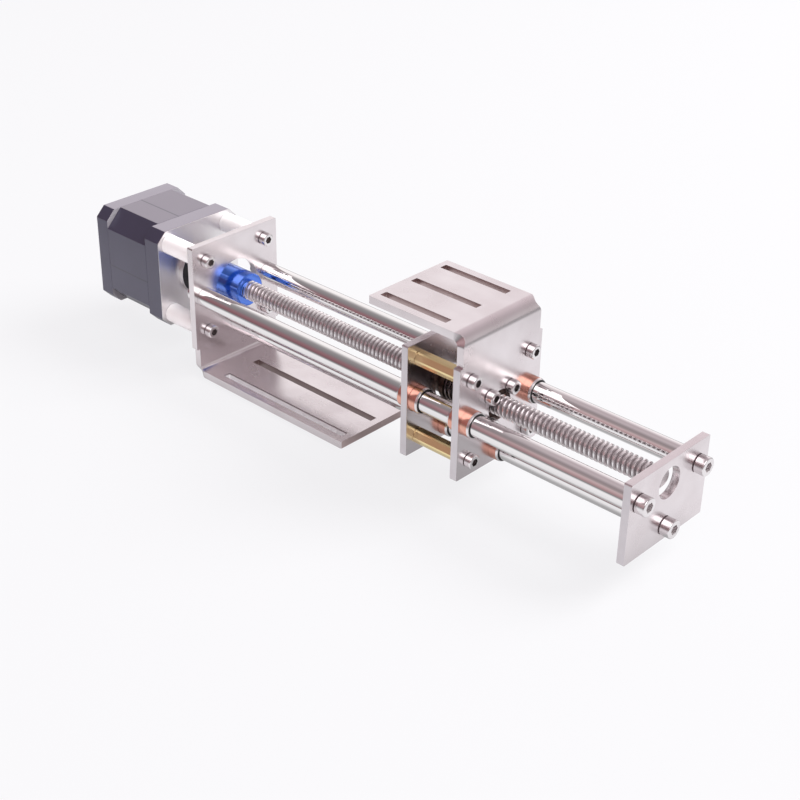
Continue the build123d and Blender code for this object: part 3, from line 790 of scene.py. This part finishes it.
def makeTable():
    look, face = sheetLook, layout["frontPlateFront"]
    under = 2 * axisHeight - sheet
    table = bentPlate(
        "carriageFrontPlate", face, face - sheet - look["bendInside"], under - look["bendInside"],
        layout["tableBack"])
    cutBy(table, (
        plateHoles(face, look["frontNutHole"], [(0, 0)], 64)
        + plateHoles(face, look["bushHole"], rodPlaces.values(), 96)
        + plateHoles(face, look["m3Hole"], standoffPlaces + nutHoles)))
    slot = (look["tableSlotX"], look["tableSlot"], under)
    cutBy(table, slotCutters(*slot))
    softenEdges(table, look["edgeRound"])
    dress(table, metals["steelX"], "carriage", "stainless", "carriage_front_plate")
    paintFaces(table, metals["edge"], lambda c, n: abs(n.y) > 0.9 and abs(c.y) > plateHalf - 0.5)
    paintFaces(table, metals["slotCut"], lambda c, n: inSlot(c, *slot))


def flatPlate(name, node, body, face, top, holes):
    plate = block(name, (face - sheet, -plateHalf, plateLow), (face, plateHalf, top))
    roundCorners(plate, lambda a, b: same(a.y, b.y) and same(a.z, b.z))
    cutBy(plate, sum((plateHoles(face, radius, places, 64) for radius, places in holes), []))
    softenEdges(plate, sheetLook["edgeRound"])
    dress(plate, metals["steelZ"], body, "stainless", node)
    paintFaces(plate, metals["edge"], lambda c, n: abs(n.y) > 0.9 and abs(c.y) > plateHalf - 0.5)


makeBracket()
makeTable()
flatPlate(
    "carriageRearPlate", "carriage_rear_plate", "carriage", layout["rearPlateFront"], plateHigh, [
        (sheetLook["rearNutHole"], [(0, 0)]), (sheetLook["bushHole"], rodPlaces.values()),
        (sheetLook["m3Hole"], standoffPlaces)])
flatPlate(
    "endPlate", "end_plate", "frame", layout["endPlateBack"] + sheet, sheetLook["endPlateTop"], [
        (sheetLook["endHole"], [(0, 0)]), (sheetLook["m4Hole"], rodPlaces.values())])
print("sheet metal done")


# Screws

screwLooks = {
    "m3": {"shank": 1.5, "head": 2.75, "height": 3.0, "round": 0.65, "foot": 0.28,
           "socket": 1.55, "socketDepth": 1.6},
    "m4": {"shank": 2.0, "head": 3.5, "height": 4.0, "round": 0.45, "foot": 0.35,
           "socket": 1.95, "socketDepth": 2.2},
}


def capScrew(size, shankLength, facing):
    look = screwLooks[size]
    height, head = look["height"], look["head"]
    screw = barAlongX("pattern", 0, height, head, 0, -axisHeight, 48)
    openMesh(screw)
    pickFaces(screw, lambda c, n: n.x < -0.9)
    bpy.ops.mesh.inset(thickness=(head - look["shank"]) * mm)
    push(x=-shankLength)
    closeMesh()
    cutBy(screw, [barAlongX(
        "socket", height - look["socketDepth"], height + 1, look["socket"], 0, -axisHeight, 6)])
    openMesh(screw, "EDGE")
    for rimX, width, segments in ((height, look["round"], 4), (0.0, look["foot"], 2)):
        pickEdges(screw, lambda a, b: all(
            same(p.x, rimX) and fromLine(p, 0, -axisHeight) > head - 0.05 for p in (a, b)))
        bevelPicked(width, segments)
    closeMesh()
    if facing < 0:
        screw.data.transform(Matrix.Rotation(math.pi, 4, "Z"))
    return screw


def screwSet(name, node, body, size, shankLength, x, places, facing=1):
    pattern = capScrew(size, shankLength, facing)
    copies = [copyTo(pattern, x, y, axisHeight + z) for y, z in places]
    bpy.data.objects.remove(pattern)
    made = joined(copies, name)
    dress(made, metals["cap"], body, "screw_steel", node)
    look = screwLooks[size]
    floorX = look["height"] - look["socketDepth"]

    def fromScrew(c):
        return min(fromLine(c, y, z) for y, z in places)

    # painted shade on the walls and floor of each hex socket
    paintFaces(made, socketPaintedShades[size], lambda c, n: (
        floorX - 0.1 < facing * (c.x - x) < look["height"] - 0.1 and fromScrew(c) < look["socket"]))
    # painted shade on the ring at the foot of each head
    paintFaces(made, footPaintedShade, lambda c, n: (
        0.0 < facing * (c.x - x) < look["foot"] and fromScrew(c) > look["head"] - look["foot"] - 0.05))


# name, node, body, size, length under the head, where the head sits, places and facing
rodEnds = list(rodPlaces.values())
for row in (
    ("motorMountScrews", "motor_mount_screws", "frame", "m3", 27.0, layout["bracketFace"], motorHoles),
    ("bracketRodScrews", "bracket_rod_screws", "frame", "m4", 13.0,
     layout["bracketFace"] - sheet, rodEnds, -1),
    ("endPlateScrews", "end_plate_screws", "frame", "m4", 13.0, layout["endPlateBack"] + sheet, rodEnds),
    ("standoffScrewsFront", "standoff_screws_front", "carriage", "m3", 9.0,
     layout["frontPlateFront"], standoffPlaces),
    ("standoffScrewsRear", "standoff_screws_rear", "carriage", "m3", 9.0,
     layout["rearPlateFront"] - sheet, standoffPlaces, -1),
    ("nutScrews", "nut_screws", "carriage", "m3", 6.0, layout["frontPlateFront"], nutHoles),
):
    screwSet(*row)
print("screws done")


# Rods, lead screw and coupling

rodLook = {"radius": 4.0, "rim": 0.4, "tapInset": 1.55, "tapDepth": 12.0, "edgeRound": 0.3}


def makeRods():
    look = rodLook
    for name, (y, z) in rodPlaces.items():
        rod = barAlongX(
            "rod" + name.title(), layout["bracketFace"], layout["endPlateBack"], look["radius"], y, z, 96)
        openMesh(rod)
        pickFaces(rod, lambda c, n: abs(n.x) > 0.9)
        bpy.ops.mesh.inset(thickness=look["rim"] * mm)
        pickFaces(rod, lambda c, n: abs(n.x) > 0.9 and fromLine(c, y, z) < 0.1)
        bpy.ops.mesh.inset(thickness=look["tapInset"] * mm)
        bpy.ops.mesh.extrude_region_shrink_fatten(
            TRANSFORM_OT_shrink_fatten={"value": -look["tapDepth"] * mm})
        closeMesh()
        softenEdges(rod, look["edgeRound"], 2, 50)
        dress(rod, metals["chrome"], "frame", "rod_chrome", "rod_" + name)


leadLook = {
    "pitch": 2.0, "outside": 4.0, "root": 2.8, "crest": 0.45, "flank": 0.45,
    "start": -46.7, "end": 166.5, "tip": 0.5, "tipShare": 0.86, "steps": 40, "windBefore": 2.5,
}


def makeLeadScrew():
    look = leadLook
    # one pitch of the trapezoid profile, then the Screw modifier winds it along X
    pitch, outside, root = look["pitch"], look["outside"], look["root"]
    crest, flank = look["crest"], look["flank"]
    profile = [(0.0, root), (pitch - crest - 2 * flank, root), (pitch - crest - flank, outside),
               (pitch - flank, outside), (pitch, root)]
    made = startPiece("leadScrew", "plane", size=1)
    openMesh(made, "VERT")
    bpy.ops.mesh.select_all(action="SELECT")
    bpy.ops.mesh.delete(type="VERT")
    mesh = bmesh.from_edit_mesh(made.data)
    points = [mesh.verts.new((x * mm, 0, r * mm)) for x, r in profile]
    for a, b in zip(points, points[1:]):
        mesh.edges.new((a, b))
    bmesh.update_edit_mesh(made.data)
    closeMesh()
    turns = int((look["end"] - look["start"]) / pitch) + 3
    modify(made, "SCREW", axis="X", angle=2 * math.pi, screw_offset=pitch * mm, steps=look["steps"],
           render_steps=look["steps"], iterations=turns, use_merge_vertices=True, merge_threshold=0.00001)
    openMesh(made, "VERT")
    bpy.ops.mesh.select_all(action="SELECT")
    bpy.ops.mesh.remove_doubles(threshold=0.00001)
    closeMesh()
    made.data.transform(Matrix.Translation(((look["start"] - look["windBefore"]) * mm, 0, axisHeight * mm)))
    for x, way in ((look["start"], -1), (look["end"] - look["tip"], 1)):
        openMesh(made)
        bpy.ops.mesh.select_all(action="SELECT")
        bpy.ops.mesh.bisect(
            plane_co=(x * mm, 0, 0), plane_no=(way, 0, 0), use_fill=True, clear_outer=True,
            threshold=0.000001)
        closeMesh()
    openMesh(made)
    pickFaces(made, lambda c, n: c.x > look["end"] - look["tip"] - 0.01 and abs(n.x) > 0.9)
    bpy.ops.mesh.extrude_region_move()
    scaleAbout(1, look["tipShare"], look["tipShare"], (look["end"], 0, axisHeight))
    bpy.ops.transform.translate(value=(look["tip"] * mm, 0, 0))
    bpy.ops.mesh.select_all(action="SELECT")
    bpy.ops.mesh.normals_make_consistent(inside=False)
    closeMesh()
    dress(made, threadSkin, "screw", "lead_screw_steel", "lead_screw", limit=28)
    print("lead screw faces:", len(made.data.polygons))


couplingLook = {
    "start": -58.0, "middle": -47.0, "end": -36.0, "radius": 7.0, "shaftBore": 2.52, "screwBore": 4.02,
    "grubX": (-52.5, -41.5), "grubRadius": 1.55, "grubLength": 8, "grubOut": 6,
    "rimBevel": 0.7, "edgeRound": 0.12,
}


def makeCoupling():
    look = couplingLook
    start, middle, end = look["start"], look["middle"], look["end"]
    coupling = barAlongX("shaftCoupling", start, end, look["radius"], sides=96)
    cutBy(coupling, [barAlongX("bore", start - 1, middle, look["shaftBore"], sides=48)])
    cutBy(coupling, [barAlongX("bore", middle, end + 1, look["screwBore"], sides=64)])
    for x in look["grubX"]:
        for y, z, turn in ((look["grubOut"], 0, math.pi / 2), (0, -look["grubOut"], 0)):
            hole = startPiece("hole", "cylinder", vertices=32, radius=look["grubRadius"] * mm,
                              depth=look["grubLength"] * mm)
            hole.rotation_euler = (turn, 0, 0)
            hole.location = (x * mm, y * mm, (axisHeight + z) * mm)
            pickObject(hole)
            bpy.ops.object.transform_apply(location=True, rotation=True, scale=True)
            cutBy(coupling, [hole])
    openMesh(coupling, "EDGE")
    pickEdges(coupling, lambda a, b: same(a.x, b.x) and (a.x < start + 0.1 or a.x > end - 0.1) and all(
        fromLine(p) > look["radius"] - 0.1 for p in (a, b)))
    bevelPicked(look["rimBevel"], 2)
    closeMesh()
    softenEdges(coupling, look["edgeRound"], 2, 40)
    dress(coupling, blueSkin, "screw", "blue_anodised", "coupling")


makeRods()
makeLeadScrew()
makeCoupling()
print("rods, lead screw and coupling done")


# Motor

motorLook = {
    "size": 42.3, "capCorner": 4.1, "stackCorner": 7.4, "rearCap": 7.0, "frontCap": 8.5,
    "bossRadius": 11.0, "bossHeight": 2.0, "bossInside": 9.5, "bossFloor": 0.5,
    "bearingRadius": 8.02, "frontPocketFloor": 3.7, "rearPocketFloor": 2.2, "shaftHole": 2.8,
    "tapHole": 1.55, "screwHole": 1.7, "screwSink": 2.95, "sinkDepth": 3.0, "statorBore": 13.0,
    "capEdgeRound": 0.25, "stackEdgeRound": 0.15,
    "socketPocket": ((1.18, 18.15, -8.02), (7.02, 22.0, 8.02)),
}


def motorBlock(name, startX, endX, corner):
    half = motorLook["size"] / 2
    made = block(name, (startX, -half, axisHeight - half), (endX, half, axisHeight + half))
    openMesh(made, "EDGE")
    pickEdges(made, lambda a, b: abs(a.x - b.x) > 1.0)
    bevelPicked(corner, 1)
    closeMesh()
    return made


def makeFrontCap():
    look, face = motorLook, layout["motorFace"]
    back = face - look["frontCap"] - 0.5
    cap = motorBlock("motorFrontCap", face - look["frontCap"], face, look["capCorner"])
    boss = barAlongX("boss", face - 1, face + look["bossHeight"], look["bossRadius"], sides=96)
    cutBy(cap, [boss], "UNION")
    cutBy(cap, [barAlongX("recess", face + look["bossFloor"], face + 3, look["bossInside"], sides=96)])
    cutBy(cap, [barAlongX("pocket", back, face - look["frontPocketFloor"], look["bearingRadius"], sides=64)])
    cutBy(cap, [barAlongX("bore", back, face + 3, look["shaftHole"], sides=48)])
    cutBy(cap, barsAlongX(back, face + 1, look["tapHole"], motorHoles, 24))
    softenEdges(cap, look["capEdgeRound"])
    dress(cap, motorSkin, "frame", "motor_black", "motor_front_cap")
    inside, outside = look["bossInside"] + 0.1, look["bossRadius"] + 0.2
    paintFaces(cap, faceSkin, lambda c, n: (
        n.x > 0.3 and c.x > face - 0.4 and fromLine(c) > inside
        or c.x > face - 0.1 and inside < fromLine(c) < outside))
    # painted shade inside the boss recess and the bores
    paintFaces(cap, borePaintedShade, lambda c, n: c.x > face - 8 and fromLine(c) < inside)


def makeStack():
    look, face, rear = motorLook, layout["motorFace"], layout["motorRear"]
    stack = motorBlock("motorStack", rear + look["rearCap"], face - look["frontCap"], look["stackCorner"])
    cutBy(stack, [barAlongX("bore", rear, face, look["statorBore"], sides=64)])
    cutBy(stack, barsAlongX(rear, face, look["screwHole"], motorHoles, 24))
    softenEdges(stack, look["stackEdgeRound"])
    dress(stack, stackSkin, "frame", "motor_black", "motor_stack")


def makeRearCap():
    look, rear = motorLook, layout["motorRear"]
    cap = motorBlock("motorRearCap", rear, rear + look["rearCap"], look["capCorner"])
    pocketFloor = rear + look["rearPocketFloor"]
    cutBy(cap, [barAlongX("pocket", pocketFloor, rear + 8, look["bearingRadius"], sides=64)])
    cutBy(cap, barsAlongX(rear - 1, rear + 8, look["screwHole"], motorHoles, 24))
    cutBy(cap, barsAlongX(rear - 1, rear + look["sinkDepth"], look["screwSink"], motorHoles, 32))
    corners = [(rear + x, y, axisHeight + z) for x, y, z in look["socketPocket"]]
    cutBy(cap, [block("socketPocket", *corners)])
    softenEdges(cap, look["capEdgeRound"])
    dress(cap, motorSkin, "frame", "motor_black", "motor_rear_cap")
    paintFaces(cap, castSkin, lambda c, n: n.x > 0.9 and c.x > rear + look["rearCap"] - 0.5)


postLook = {"radius": 4.0, "bore": 1.7, "edgeRound": 0.3}


def makePosts():
    start, end = layout["motorFace"], layout["bracketFace"] - sheet
    for number, (y, z) in enumerate(motorHoles, start=1):
        post = barAlongX("post%d" % number, start, end, postLook["radius"], y, z, 64)
        cutBy(post, [barAlongX("bore", start - 3, end + 7, postLook["bore"], y, z, 32)])
        softenEdges(post, postLook["edgeRound"], 3)
        dress(post, postSkin, "frame", "post_aluminium", "post_%d" % number)


socketLook = {
    "low": (-105.8, 18.15, 27.0), "high": (-100.0, 24.15, 43.0), "wall": 1.0, "depth": 4.5,
    "edgeRound": 0.15, "pins": 6, "pinPitch": 2.0, "pinHalf": 0.3, "pinX": -102.9,
    "pinFromY": 19.7, "pinToY": 23.1, "pinTaper": 0.12, "pinTip": 0.2,
}


def makeSocket():
    look = socketLook
    body = block("motorSocket", look["low"], look["high"])
    openMesh(body)
    pickFaces(body, lambda c, n: n.y > 0.9)
    bpy.ops.mesh.inset(thickness=look["wall"] * mm)
    push(y=-look["depth"])
    closeMesh()
    softenEdges(body, look["edgeRound"])
    pins = []
    half = look["pinHalf"]
    for index in range(look["pins"]):
        z = axisHeight + (index - (look["pins"] - 1) / 2) * look["pinPitch"]
        low = (look["pinX"] - half, look["pinFromY"], z - half)
        high = (look["pinX"] + half, look["pinToY"], z + half)
        pin = block("pin", low, high)
        openMesh(pin)
        pickFaces(pin, lambda c, n: n.y > 0.9)
        bpy.ops.mesh.inset(thickness=look["pinTaper"] * mm)
        push(y=look["pinTip"])
        closeMesh()
        pins.append(pin)
    dress(body, socketSkin, "frame", "socket_plastic", "motor_socket")
    dress(joined(pins, "motorSocketPins"), metals["brass"], "frame", "brass")


caseScrewLook = {
    "head": 2.75, "height": 3.0, "shank": 1.5, "length": 31.0,
    "slitHalf": 0.3, "slitReach": 1.6, "slitDepth": 1.1, "edgeRound": 0.2,
}


def makeCaseScrews():
    look = caseScrewLook
    pattern = barAlongX("pattern", 0, look["height"], look["head"], 0, -axisHeight, 48)
    openMesh(pattern)
    pickFaces(pattern, lambda c, n: n.x > 0.9)
    bpy.ops.mesh.inset(thickness=(look["head"] - look["shank"]) * mm)
    push(x=look["length"])
    closeMesh()
    thin, long = look["slitHalf"], look["slitReach"]
    for y, z in ((long, thin), (thin, long)):
        cutBy(pattern, [block("slit", (-1, -y, -z), (look["slitDepth"], y, z))])
    softenEdges(pattern, look["edgeRound"], 2, 50)
    copies = [copyTo(pattern, layout["motorRear"], y, axisHeight + z) for y, z in motorHoles]
    bpy.data.objects.remove(pattern)
    dress(joined(copies, "motorCaseScrews"), metals["cap"], "frame", "screw_steel", "motor_case_screws")


makeFrontCap()
makeStack()
makeRearCap()
makePosts()
makeSocket()
makeCaseScrews()
print("motor done")


# Carriage

bushLook = {
    "outside": 5.0, "end": 4.72, "bore": 4.57, "behind": 5.2, "ahead": 3.2, "taper": 0.8, "edgeRound": 0.05,
    "liningOutside": 4.55, "liningInside": 4.05, "liningRound": 0.12,
}


def makeBushes():
    look = bushLook
    narrow = look["end"] / look["outside"]
    for plateName in ("front", "rear"):
        frontX = layout[plateName + "PlateFront"]
        start, end = frontX - look["behind"] - look["taper"], frontX + look["ahead"] + look["taper"]
        for rodName, (y, z) in rodPlaces.items():
            title = plateName.title() + rodName.title()
            bush = barAlongX(
                "bush" + title, frontX - look["behind"], frontX + look["ahead"], look["outside"], y, z, 96)
            openMesh(bush)
            for way in (-1, 1):
                pickFaces(bush, lambda c, n: n.x * way > 0.9)
                bpy.ops.mesh.extrude_region_move()
                scaleAbout(1, narrow, narrow, (0, y, axisHeight + z))
                bpy.ops.transform.translate(value=(way * look["taper"] * mm, 0, 0))
            closeMesh()
            softenEdges(bush, look["edgeRound"], 2, 12)
            cutBy(bush, [barAlongX("bore", start - 1, end + 1, look["bore"], y, z, 96)])
            node = "%s_%s" % (plateName, rodName)
            dress(bush, metals["copper"], "carriage", "copper_bush", "bush_" + node, limit=12)
            paintFaces(bush, metals["cap"], lambda c, n: abs(n.x) > 0.2)
            lining = barAlongX("lining" + title, start, end, look["liningOutside"], y, z, 96)
            cutBy(lining, [barAlongX("bore", start - 1, end + 1, look["liningInside"], y, z, 96)])
            softenEdges(lining, look["liningRound"], 3, 40)
            dress(lining, liningSkin, "carriage", "black_lining", "lining_" + node)


standoffLook = {
    "acrossFlats": 5.5, "bore": 1.55, "cornerRadius": 2.98, "cornerBevel": 0.35, "edgeRound": 0.08,
}


def makeStandoffs():
    look = standoffLook
    start, end = layout["rearPlateFront"], layout["frontPlateFront"] - sheet
    for number, (y, z) in enumerate(standoffPlaces, start=1):
        post = barAlongX("standoff%d" % number, start, end, look["acrossFlats"] / math.sqrt(3), y, z, 6)
        cutBy(post, [barAlongX("bore", start - 1.7, end + 2, look["bore"], y, z, 32)])
        turned = barAlongX("turned", start, end, look["cornerRadius"], y, z, 48)
        softenEdges(turned, look["cornerBevel"], 1)
        cutBy(post, [turned], "INTERSECT")
        softenEdges(post, look["edgeRound"], 2, 25)
        dress(post, metals["brass"], "carriage", "brass", "standoff_%d" % number, limit=20)


nutLook = {
    "flangeBack": 89.5, "flangeRadius": 10.5, "hubRadius": 5.1, "hubLength": 12.0,
    "bore": 4.05, "screwHole": 1.55, "notchFrom": 77.0, "notchTo": 80.5, "notchHalf": 2.3, "edgeRound": 0.15,
    "sliderStart": 63.0, "collarStart": 72.2, "collarRadius": 6.3, "collarLength": 2.0,
    "tongueEnd": 79.7, "tongueHalf": 2.0, "tongueFrom": 3.5, "tongueTo": 6, "tongueInside": 4.3,
}


def makeNut():
    look, front = nutLook, layout["frontPlateFront"] - sheet
    main = barAlongX("nutMain", look["flangeBack"], front, look["flangeRadius"], sides=96)
    openMesh(main)
    pickFaces(main, lambda c, n: n.x < -0.9)
    bpy.ops.mesh.inset(thickness=(look["flangeRadius"] - look["hubRadius"]) * mm)
    push(x=-look["hubLength"])
    closeMesh()
    cutBy(main, [barAlongX("bore", 70, front + 2, look["bore"], sides=64)])
    cutBy(main, barsAlongX(85, front + 2, look["screwHole"], nutHoles, 24))
    half = look["notchHalf"]
    cutBy(main, [block(
        "notch", (look["notchFrom"], -half, axisHeight - 7), (look["notchTo"], half, axisHeight + 7))])
    softenEdges(main, look["edgeRound"])
    dress(main, metals["nut"], "carriage", "brass", "nut_main")


def makeSlider():
    look = nutLook
    collarEnd = look["collarStart"] + look["collarLength"]
    slider = barAlongX("nutSlider", look["sliderStart"], look["collarStart"], look["hubRadius"], sides=64)
    openMesh(slider)
    pickFaces(slider, lambda c, n: n.x > 0.9)
    bpy.ops.mesh.extrude_region_move()
    wider = look["collarRadius"] / look["hubRadius"]
    scaleAbout(1, wider, wider, (look["collarStart"], 0, axisHeight))
    push(x=look["collarLength"])
    closeMesh()
    cutBy(slider, [barAlongX("bore", 60, 80, look["bore"], sides=64)])
    softenEdges(slider, look["edgeRound"])
    tongues = []
    for side in (1, -1):
        low, high = sorted(axisHeight + side * reach for reach in (look["tongueFrom"], look["tongueTo"]))
        tongue = block(
            "tongue", (collarEnd, -look["tongueHalf"], low), (look["tongueEnd"], look["tongueHalf"], high))
        cutBy(tongue, [barAlongX("outer", 70, 90, look["hubRadius"], sides=64)], "INTERSECT")
        cutBy(tongue, [barAlongX("inner", 70, 90, look["tongueInside"], sides=64)])
        tongues.append(tongue)
    slider = joined([slider] + tongues, "nutSlider")
    dress(slider, metals["nut"], "carriage", "brass", "nut_slider")


springLook = {"wire": 0.45, "radius": 5.75, "turns": 7.5, "gap": 0.5, "stepsPerTurn": 32}


def makeSpring():
    look = springLook
    start = nutLook["collarStart"] + nutLook["collarLength"] + look["gap"]
    end = nutLook["flangeBack"] - look["gap"]
    steps = int(look["stepsPerTurn"] * look["turns"])
    coil = startPiece("nutSpring", "circle", vertices=12, radius=look["wire"] * mm, location=(0, 0, 0),
                      rotation=(math.pi / 2, 0, 0))
    coil.data.transform(Matrix.Translation((0, 0, look["radius"] * mm)))
    modify(coil, "SCREW", axis="X", angle=2 * math.pi * look["turns"], screw_offset=(end - start) * mm,
           steps=steps, render_steps=steps, iterations=1)
    openMesh(coil, "EDGE")
    bpy.ops.mesh.select_non_manifold()
    bpy.ops.mesh.edge_face_add()
    bpy.ops.mesh.select_all(action="SELECT")
    bpy.ops.mesh.normals_make_consistent(inside=False)
    closeMesh()
    coil.data.transform(Matrix.Translation((start * mm, 0, axisHeight * mm)))
    dress(coil, metals["spring"], "carriage", "dark_steel", "nut_spring")


makeBushes()
makeStandoffs()
makeNut()
makeSlider()
makeSpring()
print("carriage done")


# CAD nodes that stay as they are

for nodeName, finish in {
    "motor_bearing_front": metals["bearing"], "motor_bearing_rear": metals["bearing"],
    "motor_rotor": metals["bearing"], "motor_shaft": metals["bearing"],
    "coupling_grub_screws": metals["spring"],
}.items():
    node = cadNodes[nodeName]
    node.data.materials.clear()
    node.data.materials.append(finish)
